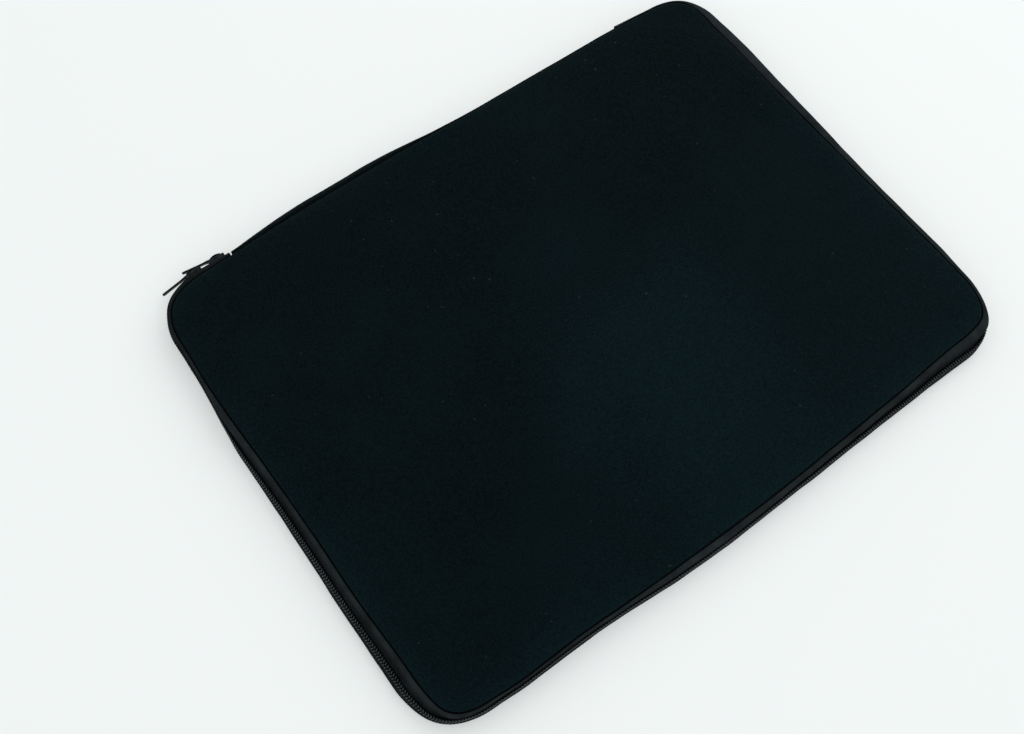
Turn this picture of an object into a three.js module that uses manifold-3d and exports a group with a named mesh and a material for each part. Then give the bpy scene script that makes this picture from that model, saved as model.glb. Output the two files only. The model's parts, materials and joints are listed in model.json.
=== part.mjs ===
// A padded laptop sleeve: two panels of laminated neoprene cloth, joined along one long edge by a
// spine strip and round the other edges by a zip with two sliders.
// Units are millimetres. X runs along the spine, +Y points to the spine, +Z is up.
// The origin lies on the underside, at the middle of the zip's outline.

import * as THREE from "three";
import { mergeVertices } from "three/addons/utils/BufferGeometryUtils.js";
import Module from "manifold-3d";

// ---- driving dimensions -------------------------------------------------------------------------

const WIDTH = 350; // zip outline, between the two short sides
const DEPTH = 262; // zip outline, between the spine side and the near side
const THICKNESS = 14; // closed and empty
const MID_HEIGHT = THICKNESS / 2;
const CORNER_RADIUS = 30;
const NEAR_BOW = 4; // how far the near side swells past its straight line
const LEFT_BOW = 1.5;

// the three bonded layers of a panel
const FACE_THICKNESS = 0.5;
const FOAM_THICKNESS = 3.1;
const LINING_THICKNESS = 0.5;
const GLUE_LINE = 0.02;
const FACE_INSET = 4.6; // from the zip outline to the edge of the outer skin
const FOAM_INSET = 5.6;

// the edge wall is an elliptic arch around this point of its section
const WALL_CENTRE_INSET = 5.2;

// woven zip tape
const TAPE_THICKNESS = 0.7;
const TAPE_HALF_WIDTH = 3.1; // of its arch, along the inset
const TAPE_HALF_HEIGHT = 6.3;
const TAPE_START_ANGLE = 5; // degrees from the mid height
const TAPE_END_ANGLE = 78;

// zip coil with its filler cord
const COIL_INSET = 0.95;
const COIL_HEIGHT = 1.6; // its centre's distance from the mid height
const COIL_HALF_WIDTH = 0.95;
const COIL_HALF_HEIGHT = 1.15;
const COIL_WALL = 0.4;
const CORD_RADIUS = 0.35;

// the zip's two ends, on the spine side
const ZIP_END_LEFT = -127.5;
const ZIP_END_RIGHT = 121;

// spine strip, the same laminate with thinner foam
const SPINE_GAP = 1; // to each end of the zip
const SPINE_HALF_WIDTH = 7.2;
const SPINE_HALF_HEIGHT = 6.2;
const SPINE_END_ANGLE = 80;
const SPINE_FOAM_THICKNESS = 2;

// sewing
const THREAD_WIDTH = 0.4;
const THREAD_INSET = 5;
const THREAD_DROP = 1.1; // below the panel's outer face
const BINDING_INSET = 5.8;
const BINDING_WIDTH = 4;
const BINDING_THICKNESS = 0.9;
const BINDING_GAP = 0.1;

// sliders
const SLIDER_LENGTH = 9.2;
const SLIDER_HALF_HEIGHT = 3.8;
const OUTER_PLATE = [0.5, 1.2]; // distances outward from the zip outline
const INNER_PLATE = [-4.8, -4.1];
const INNER_PLATE_HALF_HEIGHT = 3.4;
const LIP_REACH = -1.2;
const LIP_HEIGHT = 0.7;
const WEDGE_HALF_HEIGHT = 0.2; // the plate between the two coils
const CROWN_HALF_LENGTH = 3.9;
const CROWN_TOP = 4;
const CROWN_WALL = 0.8;
const CROWN_HALF_WIDTH = 1.1;
const CROWN_SQUARENESS = 0.8; // 1 is an ellipse, less is squarer
const SLIDER_A_X = -134.5;
const SLIDER_B_ANGLE = 6; // degrees round the corner from the spine side

// pull tabs
const PIVOT_OUT = 2.2; // from the zip outline to the axis of the pull's crossbar
const PULL_LENGTH = 19;
const PULL_THICKNESS = 1;
const PULL_END_HALF_WIDTH = 2.5;
const PULL_NECK_HALF_WIDTH = 1.9;
const PULL_TIP_HALF_WIDTH = 2.3;
const WINDOW_HALF_WIDTH = 1.75;
const WINDOW_SPAN = [0.5, 5];
const PULL_DROOP = 6; // degrees that a loose pull hangs down at its tip
const PULL_A_LIFT = 10.5; // degrees that pull A is held off by slider B's crown
const PULL_B_LIFT = 1;

const ARC_STEPS = 8; // in each corner
const BOW_STEPS = 6; // along a bowed side
const TAPE_STEPS = 4; // across the tape
const COIL_SIDES = 6;
const CORD_SIDES = 4;
const SPINE_STEPS = 10; // across the spine strip
const CROWN_STEPS = 10;

// ---- materials ----------------------------------------------------------------------------------

const cloth = (color) => new THREE.MeshStandardMaterial({ color, roughness: 0.95, metalness: 0 });
const MATERIALS = {
  face: cloth(0x0b1416),
  foam: cloth(0x17191a),
  lining: cloth(0x1b1f21),
  tape: cloth(0x1c2225),
  thread: cloth(0x101314),
  binding: cloth(0x16191b),
  coil: new THREE.MeshStandardMaterial({ color: 0x0c1214, roughness: 0.5, metalness: 0 }),
  metal: new THREE.MeshStandardMaterial({ color: 0x1a1a1b, roughness: 0.35, metalness: 0.8 }),
};

// ---- the outline, as stations with a point and an outward direction -----------------------------

const SIDES = {
  spine: { middle: [0, DEPTH / 2], out: [0, 1], half: WIDTH / 2 - CORNER_RADIUS, bow: 0 },
  left: { middle: [-WIDTH / 2, 0], out: [-1, 0], half: DEPTH / 2 - CORNER_RADIUS, bow: LEFT_BOW },
  near: { middle: [0, -DEPTH / 2], out: [0, -1], half: WIDTH / 2 - CORNER_RADIUS, bow: NEAR_BOW },
  right: { middle: [WIDTH / 2, 0], out: [1, 0], half: DEPTH / 2 - CORNER_RADIUS, bow: 0 },
};

// Stations along one side, from -1 to 1 of its half length, running counterclockwise.
function sideStations(side, from = -1, to = 1) {
  const steps = side.bow === 0 ? 1 : BOW_STEPS;
  const out = new THREE.Vector2(...side.out);
  const along = new THREE.Vector2(-out.y, out.x);
  const stations = [];
  for (let i = 0; i <= steps; i += 1) {
    const t = from + ((to - from) * i) / steps;
    const swell = (side.bow * (1 + Math.cos(Math.PI * t))) / 2;
    const slope = (-side.bow * Math.PI * Math.sin(Math.PI * t)) / 2 / side.half;
    const point = new THREE.Vector2(...side.middle)
      .addScaledVector(along, t * side.half)
      .addScaledVector(out, swell);
    const normal = out.clone().addScaledVector(along, -slope).normalize();
    stations.push({ point, normal });
  }
  return stations;
}

// Stations round the corner whose centre has the given signs, from one angle through 90 degrees.
function cornerStations(signX, signY, startAngle) {
  const centre = new THREE.Vector2(
    signX * (WIDTH / 2 - CORNER_RADIUS),
    signY * (DEPTH / 2 - CORNER_RADIUS),
  );
  const stations = [];
  for (let i = 0; i <= ARC_STEPS; i += 1) {
    const angle = THREE.MathUtils.degToRad(startAngle + (90 * i) / ARC_STEPS);
    const normal = new THREE.Vector2(Math.cos(angle), Math.sin(angle));
    stations.push({ point: centre.clone().addScaledVector(normal, CORNER_RADIUS), normal });
  }
  return stations;
}

// Pieces of route joined end to end, without the repeated first station of each.
function joinStations(pieces) {
  return pieces.flatMap((piece, i) => (i === 0 ? piece : piece.slice(1)));
}

const threeSides = [
  cornerStations(-1, 1, 90),
  sideStations(SIDES.left),
  cornerStations(-1, -1, 180),
  sideStations(SIDES.near),
  cornerStations(1, -1, 270),
  sideStations(SIDES.right),
  cornerStations(1, 1, 0),
];
const outline = joinStations([...threeSides, sideStations(SIDES.spine)]).slice(0, -1);
const spineAt = (x) => -x / SIDES.spine.half;
const zipRoute = joinStations([
  sideStations(SIDES.spine, spineAt(ZIP_END_LEFT), 1),
  ...threeSides,
  sideStations(SIDES.spine, -1, spineAt(ZIP_END_RIGHT)),
]);
const spineRoute = sideStations(
  SIDES.spine,
  spineAt(ZIP_END_RIGHT - SPINE_GAP),
  spineAt(ZIP_END_LEFT + SPINE_GAP),
);

// A curve that passes exactly through a route's stations, at the mid height.
class RoutePath extends THREE.Curve {
  constructor(stations) {
    super();
    this.stations = stations;
  }

  stationAt(u) {
    return this.stations[Math.round(u * (this.stations.length - 1))];
  }

  getPointAt(u, target = new THREE.Vector3()) {
    const { point } = this.stationAt(u);
    return target.set(point.x, point.y, MID_HEIGHT);
  }

  getTangentAt(u, target = new THREE.Vector3()) {
    const { normal } = this.stationAt(u);
    return target.set(-normal.y, normal.x, 0);
  }
}

// ---- solids -------------------------------------------------------------------------------------

// A section point [inset from the zip outline, height over the mid height], as a sweep reads it.
const sectionPoint = ([inset, height]) => new THREE.Vector2(-height, inset);

// A section swept along a route. Its outline is turned counterclockwise, so that a hole's can be.
function sweep(route, section, hole = null) {
  const points = section.map(sectionPoint);
  const shape = new THREE.Shape(THREE.ShapeUtils.isClockWise(points) ? points.reverse() : points);
  if (hole) {
    shape.holes.push(new THREE.Path(hole.map(sectionPoint)));
  }
  return new THREE.ExtrudeGeometry(shape, {
    steps: route.length - 1,
    extrudePath: new RoutePath(route),
  });
}

// The outline drawn in by an inset.
const insetOutline = (inset) =>
  outline.map(({ point, normal }) => point.clone().addScaledVector(normal, -inset));

// A flat sheet inside an inset of the outline, between two heights.
function sheet(inset, low, high, holeInset = null) {
  const shape = new THREE.Shape(insetOutline(inset));
  if (holeInset !== null) {
    shape.holes.push(new THREE.Path(insetOutline(holeInset)));
  }
  const depth = high - low;
  return new THREE.ExtrudeGeometry(shape, { depth, bevelEnabled: false }).translate(0, 0, low);
}

// The section of a band that follows an elliptic arch around the wall's centre.
function archBand(halfWidth, halfHeight, thickness, fromAngle, toAngle, steps) {
  const arc = (inward) =>
    Array.from({ length: steps + 1 }, (_, i) => {
      const angle = THREE.MathUtils.degToRad(fromAngle + ((toAngle - fromAngle) * i) / steps);
      return [
        WALL_CENTRE_INSET - (halfWidth - inward) * Math.cos(angle),
        (halfHeight - inward) * Math.sin(angle),
      ];
    });
  return [...arc(0), ...arc(thickness).reverse()];
}

// The section of a bead: an ellipse with a few sides.
function bead(inset, height, halfWidth, halfHeight, sides) {
  return Array.from({ length: sides }, (_, i) => {
    const angle = (2 * Math.PI * (i + 0.5)) / sides;
    return [inset + halfWidth * Math.cos(angle), height + halfHeight * Math.sin(angle)];
  });
}

const mirrored = (section) => section.map(([inset, height]) => [inset, -height]);

// ---- named meshes -------------------------------------------------------------------------------

const sleeve = new THREE.Group();

function add(name, geometry, material, parent = sleeve) {
  const mesh = new THREE.Mesh(geometry, material);
  mesh.name = name;
  parent.add(mesh);
  return mesh;
}

// ---- the two padded halves ----------------------------------------------------------------------

// Heights for a layer of a half: measured inward from the half's outer face.
function layerHeights(half, from, to) {
  return half === "back" ? [from, to] : [THICKNESS - to, THICKNESS - from];
}

function addPanel(half) {
  const foamStart = FACE_THICKNESS + GLUE_LINE;
  const foamEnd = foamStart + FOAM_THICKNESS;
  const liningStart = foamEnd + GLUE_LINE;
  const liningEnd = liningStart + LINING_THICKNESS;
  const face = layerHeights(half, 0, FACE_THICKNESS);
  const foam = layerHeights(half, foamStart, foamEnd);
  const lining = layerHeights(half, liningStart, liningEnd);
  add(`${half}_face_fabric`, sheet(FACE_INSET, ...face), MATERIALS.face);
  add(`${half}_foam_core`, sheet(FOAM_INSET, ...foam), MATERIALS.foam);
  add(`${half}_lining`, sheet(FOAM_INSET, ...lining), MATERIALS.lining);
  return liningEnd;
}

function addSewing(half, liningEnd) {
  const bindingStart = liningEnd + BINDING_GAP;
  const thread = layerHeights(half, THREAD_DROP, THREAD_DROP + THREAD_WIDTH);
  const binding = layerHeights(half, bindingStart, bindingStart + BINDING_THICKNESS);
  const threadRing = sheet(THREAD_INSET, ...thread, THREAD_INSET + THREAD_WIDTH);
  const bindingRing = sheet(BINDING_INSET, ...binding, BINDING_INSET + BINDING_WIDTH);
  add(`${half}_seam_thread`, threadRing, MATERIALS.thread);
  add(`${half}_binding_tape`, bindingRing, MATERIALS.binding);
}

function addZipHalf(half) {
  const place = half === "back" ? mirrored : (section) => section;
  const tape = archBand(
    TAPE_HALF_WIDTH,
    TAPE_HALF_HEIGHT,
    TAPE_THICKNESS,
    TAPE_START_ANGLE,
    TAPE_END_ANGLE,
    TAPE_STEPS,
  );
  const coil = bead(COIL_INSET, COIL_HEIGHT, COIL_HALF_WIDTH, COIL_HALF_HEIGHT, COIL_SIDES);
  const bore = bead(
    COIL_INSET,
    COIL_HEIGHT,
    COIL_HALF_WIDTH - COIL_WALL,
    COIL_HALF_HEIGHT - COIL_WALL,
    CORD_SIDES,
  );
  const cord = bead(COIL_INSET, COIL_HEIGHT, CORD_RADIUS, CORD_RADIUS, CORD_SIDES);
  add(`${half}_zip_tape`, sweep(zipRoute, place(tape)), MATERIALS.tape);
  add(`${half}_zip_coil`, sweep(zipRoute, place(coil), place(bore)), MATERIALS.coil);
  add(`${half}_coil_cord`, sweep(zipRoute, place(cord)), MATERIALS.thread);
}

for (const half of ["back", "front"]) {
  const liningEnd = addPanel(half);
  addSewing(half, liningEnd);
  addZipHalf(half);
}

// ---- the spine strip ----------------------------------------------------------------------------

function addSpineLayer(name, depthIn, thickness, material) {
  const section = archBand(
    SPINE_HALF_WIDTH - depthIn,
    SPINE_HALF_HEIGHT - depthIn,
    thickness,
    -SPINE_END_ANGLE,
    SPINE_END_ANGLE,
    SPINE_STEPS,
  );
  add(name, sweep(spineRoute, section), material);
}

const spineFoamDepth = FACE_THICKNESS + GLUE_LINE;
const spineLiningDepth = spineFoamDepth + SPINE_FOAM_THICKNESS + GLUE_LINE;
addSpineLayer("spine_face_fabric", 0, FACE_THICKNESS, MATERIALS.face);
addSpineLayer("spine_foam_core", spineFoamDepth, SPINE_FOAM_THICKNESS, MATERIALS.foam);
addSpineLayer("spine_lining", spineLiningDepth, LINING_THICKNESS, MATERIALS.lining);

// ---- sliders: local x runs along the zip, local y outward, local z up ---------------------------

const wasm = await Module();
wasm.setup();

// A closed three.js geometry as a solid that can be joined and cut.
function toSolid(geometry) {
  const bare = geometry.clone();
  bare.deleteAttribute("normal");
  bare.deleteAttribute("uv");
  const merged = mergeVertices(bare.index ? bare.toNonIndexed() : bare, 1e-4);
  return new wasm.Manifold(
    new wasm.Mesh({
      numProp: 3,
      vertProperties: Float32Array.from(merged.attributes.position.array),
      triVerts: Uint32Array.from(merged.index.array),
    }),
  );
}

function toGeometry(solid) {
  const mesh = solid.getMesh();
  const geometry = new THREE.BufferGeometry();
  geometry.setAttribute("position", new THREE.BufferAttribute(mesh.vertProperties, mesh.numProp));
  geometry.setIndex(new THREE.BufferAttribute(mesh.triVerts, 1));
  geometry.computeVertexNormals();
  return geometry;
}

// The two plates, the lips round the coils and the wedge between them: one profile along the zip.
function sliderChannel() {
  const h = SLIDER_HALF_HEIGHT;
  const [plateIn, plateOut] = OUTER_PLATE;
  const [innerBack, innerFront] = INNER_PLATE;
  const upper = [
    [innerBack, INNER_PLATE_HALF_HEIGHT],
    [innerFront, INNER_PLATE_HALF_HEIGHT],
    [innerFront, WEDGE_HALF_HEIGHT],
    [plateIn, WEDGE_HALF_HEIGHT],
    [plateIn, h - LIP_HEIGHT],
    [LIP_REACH, h - LIP_HEIGHT],
    [LIP_REACH, h],
    [plateOut - 0.4, h],
    [plateOut, h - 0.4],
  ];
  const lower = mirrored(upper).reverse();
  const shape = new THREE.Shape([...upper, ...lower].map(([y, z]) => new THREE.Vector2(y, z)));
  const geometry = new THREE.ExtrudeGeometry(shape, { depth: SLIDER_LENGTH, bevelEnabled: false });
  const toSlider = new THREE.Matrix4().makeBasis(
    new THREE.Vector3(0, 1, 0),
    new THREE.Vector3(0, 0, 1),
    new THREE.Vector3(1, 0, 0),
  );
  return geometry.translate(0, 0, -SLIDER_LENGTH / 2).applyMatrix4(toSlider);
}

// The loop on the outer plate that holds the pull.
function sliderCrown() {
  const plateOut = OUTER_PLATE[1];
  const root = plateOut - 0.3;
  const arc = (halfLength, top) =>
    Array.from({ length: CROWN_STEPS + 1 }, (_, i) => {
      const angle = (Math.PI * i) / CROWN_STEPS;
      return new THREE.Vector2(
        halfLength * Math.cos(angle),
        plateOut + (top - plateOut) * Math.sin(angle) ** CROWN_SQUARENESS,
      );
    });
  const innerHalf = CROWN_HALF_LENGTH - CROWN_WALL;
  const shape = new THREE.Shape([
    new THREE.Vector2(CROWN_HALF_LENGTH, root),
    ...arc(CROWN_HALF_LENGTH, CROWN_TOP),
    new THREE.Vector2(-CROWN_HALF_LENGTH, root),
    new THREE.Vector2(-innerHalf, root),
    ...arc(innerHalf, CROWN_TOP - CROWN_WALL).reverse(),
    new THREE.Vector2(innerHalf, root),
  ]);
  const depth = 2 * CROWN_HALF_WIDTH;
  return new THREE.ExtrudeGeometry(shape, { depth, bevelEnabled: false }).translate(0, 0, -depth / 2);
}

// A flat tab with a window round the crown; its crossbar lies on the local z axis.
function pullTab() {
  const [windowStart, windowEnd] = WINDOW_SPAN;
  const half = [
    [windowStart, PULL_END_HALF_WIDTH - 0.4],
    [windowStart - 0.4, PULL_END_HALF_WIDTH],
    [-windowEnd, PULL_END_HALF_WIDTH],
    [-windowEnd - 2, PULL_NECK_HALF_WIDTH],
    [-PULL_LENGTH + 2.6, PULL_TIP_HALF_WIDTH],
    [-PULL_LENGTH + 0.7, PULL_TIP_HALF_WIDTH - 0.5],
    [-PULL_LENGTH, PULL_TIP_HALF_WIDTH - 1.5],
  ];
  const points = [...half, ...mirrored(half).reverse()];
  const shape = new THREE.Shape(points.map(([x, z]) => new THREE.Vector2(x, z)));
  shape.holes.push(
    new THREE.Path([
      new THREE.Vector2(-windowStart, -WINDOW_HALF_WIDTH),
      new THREE.Vector2(-windowEnd, -WINDOW_HALF_WIDTH),
      new THREE.Vector2(-windowEnd, WINDOW_HALF_WIDTH),
      new THREE.Vector2(-windowStart, WINDOW_HALF_WIDTH),
    ]),
  );
  return new THREE.ExtrudeGeometry(shape, { depth: PULL_THICKNESS, bevelEnabled: false })
    .translate(0, 0, -PULL_THICKNESS / 2)
    .rotateX(Math.PI / 2);
}

function addSlider(name, point, turn, lift) {
  const slider = new THREE.Group();
  slider.position.set(point.x, point.y, MID_HEIGHT);
  slider.rotation.z = THREE.MathUtils.degToRad(turn);
  const body = toSolid(sliderChannel()).add(toSolid(sliderCrown()));
  add(`${name}_body`, toGeometry(body), MATERIALS.metal, slider);
  const pull = add(`${name}_pull`, pullTab(), MATERIALS.metal, slider);
  pull.position.set(0, PIVOT_OUT, 0);
  pull.rotation.order = "ZYX";
  pull.rotation.z = -THREE.MathUtils.degToRad(lift);
  pull.rotation.y = -THREE.MathUtils.degToRad(PULL_DROOP);
  sleeve.add(slider);
}

const cornerX = -(WIDTH / 2 - CORNER_RADIUS);
const cornerY = DEPTH / 2 - CORNER_RADIUS;
const turnB = THREE.MathUtils.degToRad(SLIDER_B_ANGLE);
const pointA = new THREE.Vector2(SLIDER_A_X, DEPTH / 2);
const pointB = new THREE.Vector2(
  cornerX - CORNER_RADIUS * Math.sin(turnB),
  cornerY + CORNER_RADIUS * Math.cos(turnB),
);
addSlider("slider_a", pointA, 0, PULL_A_LIFT);
addSlider("slider_b", pointB, SLIDER_B_ANGLE, PULL_B_LIFT);

export default sleeve;
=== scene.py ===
"""A padded laptop sleeve, zipped shut: the looks of its cloth, zip and sliders, built on the CAD frame.

Lengths are in millimetres until a mesh is made, which is in metres. An inset is a distance inward
from the zip's outline, a depth a distance inward from the seam, and a height is measured from the
mid height, where the two halves meet. The back half is the mirror image of the front half.
"""

import json
import math

import bmesh
import bpy
import numpy as np
from mathutils import Matrix, Vector
from mathutils.geometry import delaunay_2d_cdt


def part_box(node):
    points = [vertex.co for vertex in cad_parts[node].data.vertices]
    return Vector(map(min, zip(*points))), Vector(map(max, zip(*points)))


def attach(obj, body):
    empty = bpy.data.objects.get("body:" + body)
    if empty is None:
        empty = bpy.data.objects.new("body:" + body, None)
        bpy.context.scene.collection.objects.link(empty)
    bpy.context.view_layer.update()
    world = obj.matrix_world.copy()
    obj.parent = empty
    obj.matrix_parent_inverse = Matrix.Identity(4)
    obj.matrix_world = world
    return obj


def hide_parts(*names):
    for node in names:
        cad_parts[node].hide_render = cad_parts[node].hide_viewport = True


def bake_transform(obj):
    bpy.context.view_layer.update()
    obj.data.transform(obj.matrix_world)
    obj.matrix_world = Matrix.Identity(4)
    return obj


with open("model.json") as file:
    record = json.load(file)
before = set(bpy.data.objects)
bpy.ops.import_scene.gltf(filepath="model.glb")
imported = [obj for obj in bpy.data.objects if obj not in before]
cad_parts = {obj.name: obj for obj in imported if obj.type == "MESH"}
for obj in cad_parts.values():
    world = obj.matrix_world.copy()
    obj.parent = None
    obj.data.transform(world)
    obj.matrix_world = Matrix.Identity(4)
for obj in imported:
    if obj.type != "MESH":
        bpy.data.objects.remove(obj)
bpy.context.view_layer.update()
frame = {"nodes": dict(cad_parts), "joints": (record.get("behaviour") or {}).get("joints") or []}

MM = 0.001

# ---- sizes ----------------------------------------------------------------------------------------

# the CAD outline, from the box of the outer skin; the zip's ends from the box of the spine strip's cloth
FACE_INSET = 4.6  # from the zip's outline to the CAD skin's edge
skin_low, skin_high = (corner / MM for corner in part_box("front_face_fabric"))
WIDTH = 2 * (skin_high.x + FACE_INSET)
DEPTH = 2 * (skin_high.y + FACE_INSET)
MID_HEIGHT = skin_high.z / 2
CORNER_RADIUS = 30
NEAR_BOW = 4
LEFT_BOW = 1.5
tape_low, tape_high = (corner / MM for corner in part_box("spine_face_fabric"))
ZIP_END_LEFT = tape_low.x - 1
ZIP_END_RIGHT = tape_high.x + 1

# Knots round the sleeve, counterclockwise. Each is a share of its side or corner, then how
# far the seam lies in from the zip's outline, how far the outline swells past the CAD's, and how many
# degrees the zip is twisted to face upward. Between knots the values run straight, then they are blurred.
EDGE_KNOTS = {
    "spine": [(0.03, 2.2, -2.9, 0), (0.1, 4.0, -0.5, 0), (0.42, 3.5, 0, 0), (0.6, 2.1, 0, 0)]
    + [(0.8, 2.2, -0.1, 0), (0.95, 3.8, -0.2, 0)],
    "left corner": [(0.1, 5.0, -0.2, 0), (0.3, 4.0, 0.2, 0), (0.45, 4.4, 2.0, 0), (0.6, 3.6, 1.5, 0)]
    + [(0.78, 3.8, 0.7, 0)],
    "left": [(0.03, 3.3, 0.2, 0), (0.13, 3.0, 0.4, 2), (0.24, 5.3, 1.5, 8), (0.32, 6.8, 1.8, 16)]
    + [(0.4, 6.9, 0.8, 24), (0.5, 6.7, -0.4, 30), (0.65, 7.3, -0.4, 33), (0.8, 7.4, 0.1, 37)],
    "near left corner": [(0.0, 8.3, -0.8, 43), (0.17, 7.7, -1.3, 36), (0.32, 7.4, 0.3, 28)]
    + [(0.46, 6.8, 2.4, 18), (0.6, 3.6, 2.0, 10), (0.75, 3.0, 1.2, 6), (0.95, 2.8, 1.1, 3)],
    "near": [(0.06, 2.4, 2.1, 2), (0.17, 2.8, 0.6, 3), (0.26, 2.9, 0.4, 4), (0.34, 4.2, 1.3, 5)]
    + [(0.42, 4.8, 1.3, 7), (0.6, 4.4, 0.4, 9), (0.75, 5.3, 0.7, 12), (0.86, 6.0, 1.3, 16)]
    + [(0.97, 7.5, 0.9, 22)],
    "near right corner": [(0.15, 8.4, 1.6, 18), (0.3, 7.9, 2.2, 10), (0.44, 4.8, 1.6, 4)]
    + [(0.56, 3.2, 0.1, 0), (0.7, 3.7, -1.5, 0), (0.95, 3.9, -1.6, 0)],
    "right": [(0.08, 4.5, -0.7, 0), (0.25, 4.9, -1.5, 0), (0.35, 5.0, -2.0, 0), (0.5, 6.2, -1.3, 0)]
    + [(0.7, 7.2, -1.1, 0), (0.9, 8.1, -0.3, 0)],
    "far right corner": [(0.06, 6.8, -2.2, 0), (0.3, 5.0, -2.0, 0), (0.48, 3.2, -2.2, 0)]
    + [(0.65, 2.6, -2.5, 0), (0.88, 2.0, -4.0, 0)],
}
OUTLINE_STEP = 0.5
KNOT_SMOOTHING = 6  # over which the knots are blurred
TWIST_CENTRE = 1.15  # the inset the zip twists about
TWIST_SHIFT = 0.65  # how far the chain moves inward as it twists
STATION_STEP = 1.5

# zip
TAPE_FOOT_INSET = 1.8  # where the tape comes out from behind the coil
TAPE_FOOT_HEIGHT = 0.4
TAPE_HALF_HEIGHT = 5.95
SEAM_GAP = 0.35  # between the tape's end and the seam
ROUND_HANDLE = 0.55  # the handle length that makes a cubic curve round
BELLY = {"front": 1.3, "back": 0.15}  # the inset of the tape's belly where the zip isn't twisted
BELLY_TWISTS = (0.07, 0.35)  # radians of twist over which the upper belly flattens
BELLY_SWELL = 3.3  # how the lower belly stands out as the zip twists
TAPE_THICKNESS = 0.55
TOOTH_PITCH = 1.5
COIL_CENTRE = (0.95, 0.95)  # inset and height
COIL_RADII = (0.5, 0.75)
FILAMENT_RADIUS = 0.29
CORD_RADIUS = 0.32

# panel
PANEL_HALF_HEIGHT = 7.0
SKIN_THICKNESS = 0.5
FOAM_THICKNESS = 3.1
LINING_THICKNESS = 0.5
GLUE_LINE = 0.04
PATCH_DEPTH = 12  # the middle of a panel begins here; outside it lie the rings of the rolled edge
GRID_STEP = 4
PUFF_LIMIT = 0.9
PUFF_STEPS = 24
PUCKER = 0.1  # how deep the seam puckers, in waves of about the next length
PUCKER_LENGTH = 6.3

# sewing
STITCH_PITCH = 3.0
STITCH_LENGTH = 2.4
COIL_THREAD_RADIUS = 0.13
SEAM_THREAD_RADIUS = 0.28
SEAM_THREAD_DEPTH = 0.13
SEAM_THREAD_HEIGHT = 4.95
BINDING_DEPTH = (2.2, 6.2)
BINDING_THICKNESS = 0.8

# spine strip
SPINE_FOAM_THICKNESS = 1.6
SPINE_FLAT = -2.1  # how far the strip stands out where it is pulled flat
SPINE_BULGE = 6.0  # how much further it stands out where it bulges
SPINE_RISE = (-151, -82)  # the places along x where the bulge begins and is full
SPINE_FALL = (-46, 30)  # and where it goes down again
SPINE_ARCH = 80  # degrees that its section turns each way from level

# pull tabs
TAB_LENGTH = 19
TAB_THICKNESS = 0.9
TAB_EDGE_RADIUS = 0.12
TAB_TIP_RADIUS = 1.3
TAB_DROOP = 6  # degrees that the tip hangs down
TAB_LEAN = 16  # degrees that the lower edge stands out
SLIDER_BEVEL = 0.25


# ---- helpers ----------------------------------------------------------------------------------------


def smoothstep(low, high, value):
    t = np.clip((value - low) / (high - low), 0, 1)
    return t * t * (3 - 2 * t)


def strip_faces(rows, columns, closed_rows=False, closed_columns=False):
    """The quads of a grid of points, rows x columns, which may close on itself either way."""
    i = np.arange(rows if closed_rows else rows - 1)
    j = np.arange(columns if closed_columns else columns - 1)
    i, j = (a.ravel() for a in np.meshgrid(i, j, indexing="ij"))
    i2, j2 = (i + 1) % rows, (j + 1) % columns
    return np.stack([i * columns + j, i * columns + j2, i2 * columns + j2, i2 * columns + j], axis=1)


def make_piece(name, points, faces, material, uvs=None):
    """A smooth mesh object from points in millimetres, with its faces pointing outward."""
    mesh = bpy.data.meshes.new(name)
    mesh.from_pydata((np.asarray(points) * MM).tolist(), [], [list(map(int, f)) for f in faces])
    if uvs is not None:
        corner_vertex = np.zeros(len(mesh.loops), np.int32)
        mesh.loops.foreach_get("vertex_index", corner_vertex)
        layer = mesh.uv_layers.new(name="along_and_across")
        layer.uv.foreach_set("vector", (np.asarray(uvs)[corner_vertex] * MM).astype(np.float32).ravel())
    bm = bmesh.new()
    bm.from_mesh(mesh)
    bmesh.ops.recalc_face_normals(bm, faces=bm.faces)
    bm.to_mesh(mesh)
    bm.free()
    mesh.polygons.foreach_set("use_smooth", [True] * len(mesh.polygons))
    mesh.materials.append(material)
    piece = bpy.data.objects.new(name, mesh)
    bpy.context.scene.collection.objects.link(piece)
    return piece


# ---- the outline ------------------------------------------------------------------------------------


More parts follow.
